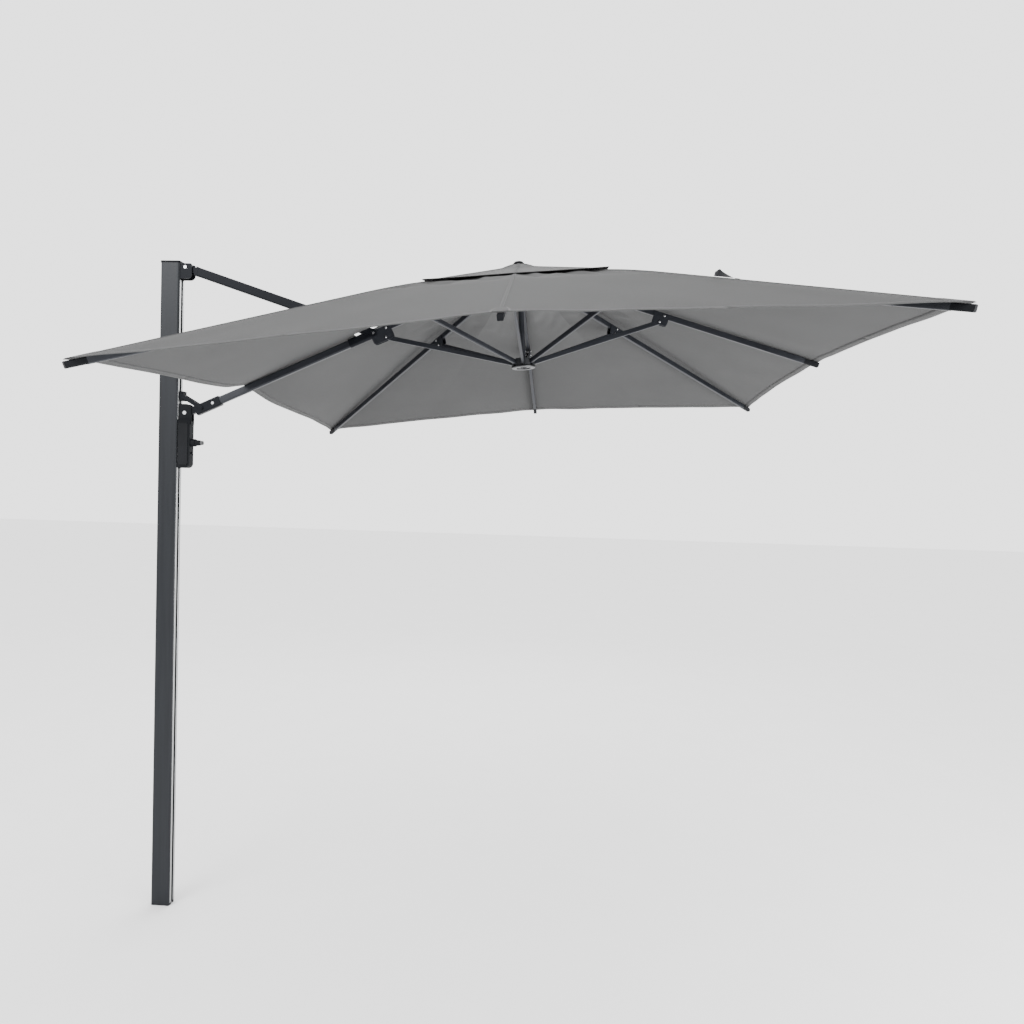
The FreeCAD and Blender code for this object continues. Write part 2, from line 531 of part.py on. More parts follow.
# ---------------------------------------------------------------- fabric: closed shells over the frame
def shell_between(low, high, name, rings):
    """A closed solid between two stacked surfaces. Each is a list of rings of points, from the middle out, with the same number of points in each ring."""
    faces = []

    def tri(a, b, c):
        if (b - a).cross(c - a).Length > 1e-6:
            faces.append(Part.Face(Part.makePolygon([a, b, c, a])))

    n = len(low[0])
    for grid in (low, high):
        for i in range(rings - 1):
            for j in range(n):
                a, b = grid[i][j], grid[i][(j + 1) % n]
                c, d = grid[i + 1][j], grid[i + 1][(j + 1) % n]
                tri(a, b, c)
                tri(b, d, c)
    for i in (0, rings - 1):
        for j in range(n):
            a, b = low[i][j], low[i][(j + 1) % n]
            c, d = high[i][j], high[i][(j + 1) % n]
            tri(a, b, c)
            tri(b, d, c)
    solid = Part.Solid(Part.Shell(faces))
    if solid.Volume < 0:
        solid.reverse()
    return solid


def line_height(kind, radius):
    """Height of the fabric's lower face over a rib line, at a distance from the hub's axis."""
    t = math.radians(num(kind + "_angle"))
    half = num("coupler_top") if kind == "boom" else num("rib_high") / 2
    gap = num("ridge_gap") if kind == "corner" else num("fabric_gap")
    return num("hub_pin_z") - (radius - num("hub_pin_rad")) * math.tan(t) + (half + gap) / math.cos(t)


def canopy_rings(extra):
    half = num("half_side")
    inner, ring, outer = [], [], []
    for j in range(8):
        az = math.radians(45 * j)
        kind = "boom" if j == 4 else ("corner" if j % 2 else "mid")
        u = V(math.cos(az), math.sin(az), 0)
        edge = half * (math.sqrt(2) if j % 2 else 1)
        inner.append(V(u.x * 24, u.y * 24, 238 + extra))
        ring.append(V(u.x * 74, u.y * 74, line_height(kind, 74) + 2.5 + extra))
        outer.append(V(u.x * edge, u.y * edge, line_height(kind, edge) + extra))
    return [inner, ring, outer]


fabric = shell_between(canopy_rings(0), canopy_rings(num("fabric_thick")), "canopy", 3)
# slit through which the upper arm reaches the boom
slit = Part.makeBox(160, 60, 90, V(num("lift_pin_at") - 66, -30, -10))
slit.Placement = CANOPY.inverse() * BOOM
fabric = fabric.cut(slit)
canopy = doc.addObject("Part::Feature", "CanopyFabric")
canopy.Shape = fabric
node(canopy, "canopy_fabric", CANOPY)


def vent_rings(extra):
    rings = [[], [], []]
    for j in range(8):
        az = math.radians(45 * j)
        u = V(math.cos(az), math.sin(az), 0)
        edge = num("vent_half") * (math.sqrt(2) if j % 2 else 1)
        rings[0].append(V(u.x * 19.5, u.y * 19.5, 254 + extra))
        rings[1].append(V(u.x * 90, u.y * 90, 230 + extra))
        rings[2].append(V(u.x * edge, u.y * edge, (106 if j % 2 else 136 if j == 4 else 120) + extra))
    return rings


vent = doc.addObject("Part::Feature", "VentFabric")
vent.Shape = shell_between(vent_rings(0), vent_rings(num("fabric_thick")), "vent", 3)
node(vent, "vent_cap", CANOPY)

# ---------------------------------------------------------------- checks and export
doc.recompute()
for o in doc.Objects:
    bad = [s for s in o.State if s in ("Invalid", "Error")]
    if bad:
        raise RuntimeError("%s (%s) failed: %s" % (o.Name, o.Label, bad))
if len({n for n, _ in nodes}) != len(nodes):
    raise RuntimeError("two nodes share a name")
os.makedirs("parts", exist_ok=True)
for name, o in nodes:
    s = o.Shape
    if s.isNull() or not s.isValid() or s.Volume <= 0:
        raise RuntimeError("%s has no valid solid" % name)
    if not s.Solids:
        raise RuntimeError("%s holds no solid" % name)
for name, o in nodes:
    o.Shape.exportStep("parts/%s.step" % name)
print(len(nodes), "nodes written")
print("boom pivot", pivot, "lift pin", lift_pin, "knuckle pin", knuckle_pin)
print("arm", arm_len, arm_fall, "link", link_len, link_fall)
for name, o in nodes:
    b = o.Shape.BoundBox
    print("%-18s %2d solids  x %.0f..%.0f y %.0f..%.0f z %.0f..%.0f" % (name, len(o.Shape.Solids), b.XMin, b.XMax, b.YMin, b.YMax, b.ZMin, b.ZMax))
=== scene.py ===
import math
import random
import bpy
import bmesh
from mathutils import Vector, Matrix


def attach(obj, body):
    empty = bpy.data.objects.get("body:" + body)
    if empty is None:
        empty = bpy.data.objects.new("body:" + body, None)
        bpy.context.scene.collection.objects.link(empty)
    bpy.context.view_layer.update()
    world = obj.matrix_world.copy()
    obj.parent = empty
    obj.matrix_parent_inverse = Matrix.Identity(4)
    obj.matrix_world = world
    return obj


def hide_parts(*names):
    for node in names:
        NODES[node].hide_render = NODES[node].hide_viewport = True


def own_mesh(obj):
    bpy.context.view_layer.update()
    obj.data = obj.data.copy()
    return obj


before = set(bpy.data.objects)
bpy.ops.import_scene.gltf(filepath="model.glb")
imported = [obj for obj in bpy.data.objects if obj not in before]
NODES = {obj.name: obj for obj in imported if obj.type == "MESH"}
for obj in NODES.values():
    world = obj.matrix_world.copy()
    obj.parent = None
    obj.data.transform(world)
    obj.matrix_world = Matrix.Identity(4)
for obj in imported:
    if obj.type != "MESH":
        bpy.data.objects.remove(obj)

random.seed(4)
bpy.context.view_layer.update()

# ------------------------------------------------------------------ canopy frame, in metres
CX, CZ, TILT = 1.5699, 2.6514, math.radians(4.388)
CT, ST = math.cos(TILT), math.sin(TILT)
HUB_R, HUB_Z = 0.055, 0.215
HALF = 1.25
SLOPE = {"mid": math.radians(21.262), "corner": math.radians(16.917), "boom": math.radians(19.647)}
LIFT = {"mid": 0.0132, "corner": 0.0150, "boom": 0.0212}


def G(p):
    return Vector((CX + CT * p[0] - ST * p[2], p[1], CZ + ST * p[0] + CT * p[2]))


def GD(p):
    return Vector((CT * p[0] - ST * p[2], p[1], ST * p[0] + CT * p[2]))


def kind(k):
    return "boom" if k == 1 else ("corner" if k % 2 == 0 else "mid")


def azimuth(k):
    return math.radians(45.0 * (k - 1) + 180.0)


def smooth(a, b, x):
    u = min(max((x - a) / (b - a), 0.0), 1.0)
    return u * u * (3 - 2 * u)


def spoke(k):
    """Direction of rib k on the unit square: mid ribs reach 1, corner ribs reach the square's corner."""
    a = azimuth(k)
    n = math.sqrt(2) if kind(k) == "corner" else 1.0
    return (math.cos(a) * n, math.sin(a) * n)


def ridge(k, h):
    """Height of the cloth over rib k, where the cloth's half side is h."""
    r = h * (math.sqrt(2) if kind(k) == "corner" else 1.0)
    t = SLOPE[kind(k)]
    # drawn tight between the crown and the hem, so it stands a little off the ribs on the way
    if kind(k) == "corner":
        off = 0.040 * max(1 - r / 1.80, 0.0) * smooth(0.10, 0.75, r)
    else:
        off = 0.016 * max(1 - r / 1.25, 0.0) * smooth(0.07, 0.50, r)
    return HUB_Z - (r - HUB_R) * math.tan(t) + LIFT[kind(k)] / math.cos(t) + off


def cloth(k, h, t):
    """A point on the canopy in its own frame. t runs from rib k (0) half way to the next (0.5) or the one before (-0.5), and past it."""
    u = abs(t)
    other = (k % 8) + 1 if t >= 0 else (k - 2) % 8 + 1
    # seen from the nearer rib, so that both sides of a gore agree
    if u > 0.5:
        return cloth(other, h, (1 - u) * (-1 if t > 0 else 1))
    hump = 4 * u * (1 - u)
    hh = h - 0.021 * hump * (h / HALF) ** 3
    ea, eb = spoke(k), spoke(other)
    x = hh * ((1 - u) * ea[0] + u * eb[0])
    y = hh * ((1 - u) * ea[1] + u * eb[1])
    z = (1 - u) * ridge(k, hh) + u * ridge(other, hh)
    z -= 0.006 * (h / HALF) ** 1.3 * hump
    # soft pull lines that run in from each rib's tip
    tug = math.exp(-((HALF - h) / 0.34) ** 2) * math.sin(u * math.pi * 7.0) * math.exp(-(u / 0.23) ** 2)
    z += 0.0028 * tug
    z += 0.0014 * math.sin(17.0 * x + 3.1 * y) * math.sin(13.0 * y - 2.3 * x + 0.7) * hump * smooth(0.2, 0.7, h)
    # slack creases round the crown, where the gores are gathered
    crown = smooth(0.09, 0.17, h) * (1 - smooth(0.40, 0.56, h)) * min(hump * 2.2, 1.0)
    if crown > 0:
        w = 0.5 + 0.5 * math.sin(34.0 * x + 15.0 * y + 1.6 * math.sin(19.0 * y + 1.0))
        w += 0.6 * (0.5 + 0.5 * math.sin(-23.0 * x + 41.0 * y + 1.4 * math.sin(17.0 * x))) ** 2
        w += 0.35 * (0.5 + 0.5 * math.sin(71.0 * x + 52.0 * y + 2.0 * math.sin(27.0 * x - 9.0 * y)))
        z -= 0.0075 * crown * w
    # the cloth hangs down on both sides of the boom at the hem
    if kind(k) == "boom" or kind(other) == "boom":
        d = abs(y)
        z -= (0.002 + 0.150 * d) * smooth(1.00, 1.25, h) * smooth(0.013, 0.034, d) * max(1 - d / 1.15, 0.0) ** 2.2
    return Vector((x, y, z))


def slope_normal(k, h, t):
    e = 1e-3
    h0, h1 = max(h - e, 0.005), h + e
    side = e / max(h, 0.05)
    if abs(t) < 0.035 and kind(k) != "mid":
        ts = (t, t + side) if t >= 0 else (t - side, t)
    else:
        ts = (t - side, t + side)
    a = cloth(k, h1, t) - cloth(k, h0, t)
    b = cloth(k, h, ts[1]) - cloth(k, h, ts[0])
    n = a.cross(b)
    if n.z < 0:
        n = -n
    return n.normalized() if n.length > 0 else Vector((0, 0, 1))


# ------------------------------------------------------------------ materials
def new_material(name):
    m = bpy.data.materials.new(name)
    m.use_nodes = True
    t = m.node_tree
    for n in list(t.nodes):
        if n.type not in ("OUTPUT_MATERIAL", "BSDF_PRINCIPLED"):
            t.nodes.remove(n)
    return m, t, t.nodes["Principled BSDF"]


def node(t, kind_, **values):
    n = t.nodes.new(kind_)
    for key, v in values.items():
        if key in n.inputs:
            n.inputs[key].default_value = v
        else:
            setattr(n, key, v)
    return n


def ramp(t, source, low, high, a, b):
    r = t.nodes.new("ShaderNodeMapRange")
    r.inputs["From Min"].default_value = low
    r.inputs["From Max"].default_value = high
    r.inputs["To Min"].default_value = a
    r.inputs["To Max"].default_value = b
    t.links.new(source, r.inputs["Value"])
    return r.outputs["Result"]


def mix_colour(t, factor, a, b):
    m = t.nodes.new("ShaderNodeMix")
    m.data_type = "RGBA"
    m.inputs["A"].default_value = (*a, 1) if not hasattr(a, "is_linked") else (0, 0, 0, 1)
    m.inputs["B"].default_value = (*b, 1) if not hasattr(b, "is_linked") else (0, 0, 0, 1)
    if hasattr(a, "is_linked"):
        t.links.new(a, m.inputs["A"])
    if hasattr(b, "is_linked"):
        t.links.new(b, m.inputs["B"])
    t.links.new(factor, m.inputs["Factor"])
    return m.outputs["Result"]


def math_node(t, op, a, b=None, c=None):
    n = t.nodes.new("ShaderNodeMath")
    n.operation = op
    for i, v in enumerate((a, b, c)):
        if v is None:
            continue
        if hasattr(v, "is_linked"):
            t.links.new(v, n.inputs[i])
        else:
            n.inputs[i].default_value = v
    return n.outputs[0]


def coated_metal(name, dark, light, rough=(0.34, 0.5), metallic=0.3, grain=900, bump=0.12, streak=None, specular=0.32):
    """Powder-coated aluminium: fine orange-peel texture, a little colour drift, soft dust."""
    m, t, p = new_material(name)
    co = t.nodes.new("ShaderNodeTexCoord").outputs["Object"]
    source = co
    if streak:
        mp = t.nodes.new("ShaderNodeMapping")
        mp.inputs["Scale"].default_value = streak
        t.links.new(co, mp.inputs["Vector"])
        source = mp.outputs["Vector"]
    drift = node(t, "ShaderNodeTexNoise", Scale=6.0, Detail=4.0, Roughness=0.6)
    fine = node(t, "ShaderNodeTexNoise", Scale=float(grain), Detail=2.0, Roughness=0.5)
    t.links.new(source, drift.inputs["Vector"])
    t.links.new(co, fine.inputs["Vector"])
    both = math_node(t, "MULTIPLY_ADD", fine.outputs["Fac"], 0.35, math_node(t, "MULTIPLY", drift.outputs["Fac"], 0.65))
    t.links.new(mix_colour(t, ramp(t, both, 0.35, 0.65, 0.0, 1.0), dark, light), p.inputs["Base Color"])
    t.links.new(ramp(t, both, 0.3, 0.7, rough[0], rough[1]), p.inputs["Roughness"])
    b = node(t, "ShaderNodeBump", Strength=bump, Distance=0.0004)
    t.links.new(fine.outputs["Fac"], b.inputs["Height"])
    t.links.new(b.outputs["Normal"], p.inputs["Normal"])
    p.inputs["Metallic"].default_value = metallic
    p.inputs["Specular IOR Level"].default_value = specular
    return m


def brushed(name, base, rough=(0.18, 0.34), stretch=(400, 400, 18)):
    m, t, p = new_material(name)
    co = t.nodes.new("ShaderNodeTexCoord").outputs["Object"]
    mp = t.nodes.new("ShaderNodeMapping")
    mp.inputs["Scale"].default_value = stretch
    t.links.new(co, mp.inputs["Vector"])
    n = node(t, "ShaderNodeTexNoise", Scale=4.0, Detail=3.0)
    t.links.new(mp.outputs["Vector"], n.inputs["Vector"])
    t.links.new(mix_colour(t, ramp(t, n.outputs["Fac"], 0.35, 0.65, 0, 1), tuple(c * 0.82 for c in base), base), p.inputs["Base Color"])
    t.links.new(ramp(t, n.outputs["Fac"], 0.3, 0.7, rough[0], rough[1]), p.inputs["Roughness"])
    b = node(t, "ShaderNodeBump", Strength=0.15, Distance=0.0002)
    t.links.new(n.outputs["Fac"], b.inputs["Height"])
    t.links.new(b.outputs["Normal"], p.inputs["Normal"])
    p.inputs["Metallic"].default_value = 1.0
    return m


def woven(name, dark, light, pitch=0.0011, stitches=False, rough=0.82, thread=(0.36, 0.37, 0.38), crown=None):
    """Woven polyester on a UV map in metres: yarns over and under, slubs, and slow shade drift."""
    m, t, p = new_material(name)
    uv = t.nodes.new("ShaderNodeTexCoord").outputs["UV"]
    sep = t.nodes.new("ShaderNodeSeparateXYZ")
    t.links.new(uv, sep.inputs[0])
    u, v = sep.outputs["X"], sep.outputs["Y"]
    su = math_node(t, "SINE", math_node(t, "MULTIPLY", u, 2 * math.pi / pitch))
    sv = math_node(t, "SINE", math_node(t, "MULTIPLY", v, 2 * math.pi / pitch))
    weave = math_node(t, "MULTIPLY", su, sv)
    slow = node(t, "ShaderNodeTexNoise", Scale=2.6, Detail=4.0, Roughness=0.55)
    slub = node(t, "ShaderNodeTexNoise", Scale=70.0, Detail=3.0, Roughness=0.6)
    t.links.new(uv, slow.inputs["Vector"])
    stretch = t.nodes.new("ShaderNodeMapping")
    stretch.inputs["Scale"].default_value = (6.0, 0.5, 1.0)
    t.links.new(uv, stretch.inputs["Vector"])
    t.links.new(stretch.outputs["Vector"], slub.inputs["Vector"])
    tone = math_node(t, "MULTIPLY_ADD", slub.outputs["Fac"], 0.4, math_node(t, "MULTIPLY", slow.outputs["Fac"], 0.6))
    tone = math_node(t, "MULTIPLY_ADD", weave, 0.05, tone)
    colour = mix_colour(t, ramp(t, tone, 0.32, 0.68, 0, 1), dark, light)
    # painted light: the cloth is coloured lighter towards the crown and over the vent, standing in for the glow of
    # light coming through the vent and the thin cloth
    if crown:
        crown_painted_light = ramp(t, v, 0.30, 0.62, 1.0, 0.0)
        colour = mix_colour(t, math_node(t, "MULTIPLY", crown_painted_light, 0.8), colour, crown)
    height = math_node(t, "MULTIPLY_ADD", slub.outputs["Fac"], 0.6, weave)
    if stitches:
        line = math_node(t, "COMPARE", math_node(t, "ABSOLUTE", u), 0.0046, 0.00055)
        dash = math_node(t, "GREATER_THAN", math_node(t, "FRACT", math_node(t, "MULTIPLY", v, 1 / 0.0052)), 0.3)
        mask = math_node(t, "MULTIPLY", line, dash)
        colour = mix_colour(t, mask, colour, thread)
        height = math_node(t, "MULTIPLY_ADD", mask, 2.0, height)
    t.links.new(colour, p.inputs["Base Color"])
    t.links.new(ramp(t, tone, 0.3, 0.7, rough - 0.06, rough + 0.06), p.inputs["Roughness"])
    b = node(t, "ShaderNodeBump", Strength=0.22, Distance=0.0003)
    t.links.new(height, b.inputs["Height"])
    t.links.new(b.outputs["Normal"], p.inputs["Normal"])
    p.inputs["Specular IOR Level"].default_value = 0.16
    p.inputs["Sheen Weight"].default_value = 0.02
    p.inputs["Sheen Roughness"].default_value = 0.5
    return m


FRAME = coated_metal("frame_coat", (0.0100, 0.0112, 0.0145), (0.0170, 0.0188, 0.0235))
ARM = coated_metal("arm_coat", (0.0040, 0.0046, 0.0062), (0.0075, 0.0084, 0.0108), specular=0.10)
MAST = coated_metal("mast_coat", (0.0050, 0.0060, 0.0080), (0.0090, 0.0105, 0.0135), rough=(0.30, 0.44), streak=(9.0, 9.0, 0.35))
PLASTIC = coated_metal("moulded_plastic", (0.004, 0.0045, 0.0055), (0.009, 0.0095, 0.011), rough=(0.42, 0.6), metallic=0.0, grain=1500, bump=0.25, specular=0.05)
GLOSS = coated_metal("gloss_plastic", (0.0035, 0.004, 0.005), (0.008, 0.0085, 0.010), rough=(0.14, 0.26), metallic=0.0, grain=700, bump=0.04, specular=0.12)
HUB = coated_metal("cast_hub", (0.0080, 0.0088, 0.0104), (0.0145, 0.0155, 0.0180), rough=(0.36, 0.52), metallic=0.2, grain=420, bump=0.3)
STEEL = brushed("bright_steel", (0.62, 0.62, 0.64))
# painted highlight: a light metal for the track lips, standing in for the bright reflection along them
LIP_PAINTED_HIGHLIGHT = brushed("lip_painted_highlight", (0.36, 0.365, 0.37), rough=(0.32, 0.45), stretch=(300, 300, 3))
RING = brushed("ring_metal", (0.085, 0.087, 0.090), rough=(0.36, 0.5))
ALU = brushed("plain_aluminium", (0.42, 0.43, 0.45), rough=(0.3, 0.45))
# the crown colour is painted light: a lighter tint near the crown and on the vent cloth for the glow through the vent
CLOTH = woven("canopy_cloth", (0.0440, 0.0443, 0.0447), (0.0570, 0.0573, 0.0577), crown=(0.084, 0.0845, 0.085))
TRIM = woven("canopy_trim", (0.0460, 0.0463, 0.0467), (0.0600, 0.0603, 0.0607), stitches=True, thread=(0.11, 0.111, 0.113))
# painted shade: the strap is coloured far darker than the cloth, standing in for the shade on the raised flap's shaded
# side
STRAP_PAINTED_SHADE = woven("strap_painted_shade", (0.010, 0.0105, 0.012), (0.018, 0.0185, 0.021), pitch=0.0016)

BY_NODE = {
    "mast_profile": MAST, "foot_plug": ALU, "mast_top_cap": PLASTIC, "top_bracket": ARM, "top_pivot_pin": STEEL, "bracket_bolt": STEEL,
    "carriage_housing": PLASTIC, "slide_shoe": PLASTIC, "carriage_cover": GLOSS, "boom_pivot_pin": STEEL, "carriage_plug": GLOSS,
    "crank_socket": PLASTIC, "crank_drive_end": RING, "link_slider": PLASTIC, "tilt_link": ARM,
    "boom_coupler": ARM, "boom_knuckle": ARM, "boom_rivets": STEEL, "upper_arm_tube": ARM, "upper_arm_eye": ARM, "upper_arm_fork": ARM,
    "hub_casting": HUB, "hub_pins": STEEL, "crown_post": PLASTIC, "runner": HUB,
}
for name, o in NODES.items():
    m = BY_NODE.get(name) or (PLASTIC if name.startswith("rib_tip") else FRAME)
    o.data.materials.clear()
    o.data.materials.append(m)


# ------------------------------------------------------------------ mesh helpers
def make(name, verts, faces, material, uvs=None, normals=None):
    """A mesh object in the row frame. uvs has one pair for each vertex."""
    me = bpy.data.meshes.new(name)
    me.from_pydata([tuple(v) for v in verts], [], faces)
    me.update()
    if uvs:
        layer = me.uv_layers.new(name="UVMap")
        for loop in me.loops:
            layer.data[loop.index].uv = uvs[loop.vertex_index]
    me.materials.append(material)
    for poly in me.polygons:
        poly.use_smooth = True
    if normals:
        me.normals_split_custom_set_from_vertices([tuple(n) for n in normals])
    o = bpy.data.objects.new(name, me)
    bpy.context.scene.collection.objects.link(o)
    return o


def on_rib(o, k):
    """Rides on rib k, and moves with it as the canopy folds."""
    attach(o, "boom" if k == 1 else "rib_%d" % k)
    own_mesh(o)
    return o


# ------------------------------------------------------------------ canopy: one curved surface, divided half way between the ribs
H_IN, ROWS, COLS = 0.026, 64, 18
SLIT = (0.588, 0.738, 0.023)


def levels():
    out = [H_IN + (HALF - H_IN) * (i / ROWS) for i in range(ROWS + 1)]
    for mark in SLIT[:2]:
        j = min(range(len(out)), key=lambda i: abs(out[i] - mark))
        out[j] = mark
    return out


def sides(k):
    ts = [-0.5 + i / (2.0 * COLS) for i in range(2 * COLS + 1)]
    if k == 1:
        edge = SLIT[2] / ((SLIT[0] + SLIT[1]) / 2)
        for sign in (-1, 1):
            j = min(range(len(ts)), key=lambda i: abs(ts[i] - sign * edge))
            ts[j] = sign * edge
    return ts


THICK = 0.0007
panels, trims = [], []
for k in range(1, 9):
    hs, ts = levels(), sides(k)
    verts, uvs, normals, faces = [], [], [], []
    for h in hs:
        for t in ts:
            verts.append(G(cloth(k, h, t)))
            uvs.append((t * h * 1.0 + k * 3.0, h * (1.48 if kind(k) == "corner" else 1.07)))
            normals.append(GD(slope_normal(k, h, t)))
    n = len(ts)
    for i in range(len(hs) - 1):
        for j in range(n - 1):
            if k == 1 and SLIT[0] - 1e-6 <= hs[i] and hs[i + 1] <= SLIT[1] + 1e-6 and abs((ts[j] + ts[j + 1]) / 2) < SLIT[2] / ((SLIT[0] + SLIT[1]) / 2):
                continue
            a, b, c, d = i * n + j, i * n + j + 1, (i + 1) * n + j + 1, (i + 1) * n + j
            faces.append((a, d, c, b))
    o = make("canopy_panel_%d" % k, verts, faces, CLOTH, uvs, normals)
    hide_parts("canopy_fabric")
    panels.append(o)


# ------------------------------------------------------------------ seams over the ribs, hems and end patches
def lifted(k, h, t, up):
    return G(cloth(k, h, t) + slope_normal(k, h, t) * up)


def add_strip(store, k, h0, h1, steps, profile, at_t=0.0):
    """A band along rib k from h0 to h1. profile is (offset across, height) pairs."""
    verts, uvs, faces = store
    base, m = len(verts), len(profile)
    for i in range(steps + 1):
        h = h0 + (h1 - h0) * i / steps
        for off, up in profile:
            verts.append(lifted(k, h, at_t + off / h, up))
            uvs.append((off, h * 1.1))
    for i in range(steps):
        for j in range(m - 1):
            a = base + i * m + j
            faces.append((a, a + 1, a + m + 1, a + m))


def add_hem(store, k):
    """The folded hem along the canopy's outer edge, as a flat closed tube."""
    verts, uvs, faces = store
    base = len(verts)
    section = [(-0.024, 0.0011), (-0.013, 0.0016), (-0.003, 0.0016), (0.0012, 0.0006), (0.0012, -0.0006), (-0.003, -0.0016), (-0.013, -0.0016), (-0.024, -0.0011)]
    m, steps = len(section), 2 * COLS
    ts = sides(k)
    for t in ts:
        for dh, up in section:
            verts.append(lifted(k, HALF + dh, t, up))
            uvs.append((dh + 0.0115 - (0.0046 if dh > -0.010 else 0), t * HALF * (1 if kind(k) != "corner" else 1) + 7.0))
    for i in range(len(ts) - 1):
        for j in range(m):
            a, b = base + i * m + j, base + i * m + (j + 1) % m
            faces.append((a, b, b + m, a + m))
    faces.append(tuple(base + j for j in range(m))[::-1])
    faces.append(tuple(base + (len(ts) - 1) * m + j for j in range(m)))


def add_patch(store, k, h0, h1, half, up, cols=8, rows=8):
    """A sewn reinforcement over a rib's end, on top of the cloth, with its edges turned down."""
    verts, uvs, faces = store
    base = len(verts)
    for i in range(rows + 1):
        s = i / rows
        h = h0 + (h1 - h0) * s
        width = half * (0.55 + 0.45 * smooth(0, 0.7, s))
        for j in range(cols + 1):
            q = -1 + 2 * j / cols
            edge = min(1.0, (1 - abs(q)) * 6, s * 6 + 0.0)
            verts.append(lifted(k, h, q * width / h, up * smooth(0, 1, edge) + 0.0002))
            uvs.append((q * 0.006, h))
    m = cols + 1
    for i in range(rows):
        for j in range(cols):
            a = base + i * m + j
            faces.append((a, a + 1, a + m + 1, a + m))


SEAM = [(-0.0070, 0.0002), (-0.0062, 0.0013), (-0.0025, 0.0016), (0.0025, 0.0016), (0.0062, 0.0013), (0.0070, 0.0002)]
for k in range(1, 9):
    store = ([], [], [])
    if k == 1:
        add_strip(store, k, 0.33, SLIT[0] - 0.016, 18, SEAM)
        add_strip(store, k, SLIT[1] + 0.016, HALF - 0.012, 30, SEAM)
        # binding round the slit for the upper arm
        hs = [h for h in levels() if SLIT[0] - 1e-6 <= h <= SLIT[1] + 1e-6]
        te = SLIT[2] / ((SLIT[0] + SLIT[1]) / 2)
        loop = [(h, te, 0, 1) for h in hs] + [(SLIT[1], te * (1 - i / 6), 1, 0) for i in range(1, 12)] + [(h, -te, 0, -1) for h in reversed(hs)] + [(SLIT[0], -te * (1 - i / 6), -1, 0) for i in range(1, 12)]
        verts, uvs, faces = store
        base, m = len(verts), 6
        ring_profile = [(-0.001, -0.0014), (-0.001, 0.0014), (0.004, 0.0019), (0.012, 0.0016), (0.012, -0.0014), (0.004, -0.0017)]
        for i, (h, t, dh, dt) in enumerate(loop):
            corner = (h in (SLIT[0], SLIT[1])) and abs(abs(t) - te) < 1e-9
            if corner:
                dh = 0.8 if h == SLIT[1] else -0.8
                dt = 0.8 if t > 0 else -0.8
            for out, up in ring_profile:
                verts.append(lifted(k, h + out * dh, t + out * dt / h, up))
                uvs.append((out - 0.006, i * 0.008))
        for i in range(len(loop)):
            for j in range(m):
                a, b = base + i * m + j, base + i * m + (j + 1) % m
                c, d = base + ((i + 1) % len(loop)) * m + (j + 1) % m, base + ((i + 1) % len(loop)) * m + j
                faces.append((a, b, c, d))
    else:
        add_strip(store, k, 0.10, HALF - 0.012, 64, SEAM)
    add_hem(store, k)
    add_patch(store, k, HALF - (0.075 if kind(k) != "corner" else 0.07), HALF - 0.001, 0.034, 0.0022)
    o = make("canopy_trim_%d" % k, store[0], store[2], TRIM, store[1])
    trims.append(o)

for k, o, tr in zip(range(1, 9), panels, trims):
    bm = bmesh.new()
    bm.from_mesh(o.data)
    area = sum(f.calc_area() for f in bm.faces)
    bm.free()
    on_rib(o, k)
    on_rib(tr, k)

# ------------------------------------------------------------------ vent cap: a small bell-shaped top over the crown
VENT = 0.363


def vent(h, k, t):
    u = abs(t)
    other = (k % 8) + 1 if t >= 0 else (k - 2) % 8 + 1
    if u > 0.5:
        return vent(h, other, (1 - u) * (-1 if t > 0 else 1))
    ea, eb = spoke(k), spoke(other)
    hump = 4 * u * (1 - u)
    s = h / VENT
    hh = h - 0.014 * hump * s ** 3
    edge = {"mid": 0.1215, "corner": 0.1150, "boom": 0.1430}

    def z_of(j):
        r = h * (math.sqrt(2) if kind(j) == "corner" else 1.0)
        bell = 0.012 * max(1 - (r / 0.10) ** 2, 0.0)
        tip = 0.006 * smooth(0.90, 1.0, s) if kind(j) == "corner" else 0.0
        return edge[kind(j)] + (0.2548 - edge[kind(j)]) * max(1 - s, 0.0) + bell + tip
    z = (1 - u) * z_of(k) + u * z_of(other) - 0.0025 * hump * s * (1 - s) * 4 + 0.003 * hump * smooth(0.7, 1, s)
    return Vector((hh * ((1 - u) * ea[0] + u * eb[0]), hh * ((1 - u) * ea[1] + u * eb[1]), z))


verts, uvs, faces = [], [], []
rows, per = 26, 16
for i in range(rows + 1):
    h = 0.0195 + (VENT - 0.0195) * i / rows
    for k in range(1, 9):
        for j in range(per):
            verts.append(G(vent(h, k, j / per)))
            uvs.append((((k - 1) + j / per) * h + 40, h * 1.1))
n = 8 * per
for i in range(rows):
    for j in range(n):
        a, b = i * n + j, i * n + (j + 1) % n
        faces.append((a, a + n, b + n, b))
vent_o = make("vent_cloth", verts, faces, CLOTH, uvs)
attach(vent_o, "hub")
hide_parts("vent_cap")


def vent_normal(h, k, t):
    e = 2e-3
    a = vent(h + e, k, t) - vent(h - e, k, t)
    b = vent(h, k, t + e / h) - vent(h, k, t)
    m = a.cross(b)
    return (m if m.z > 0 else -m).normalized()


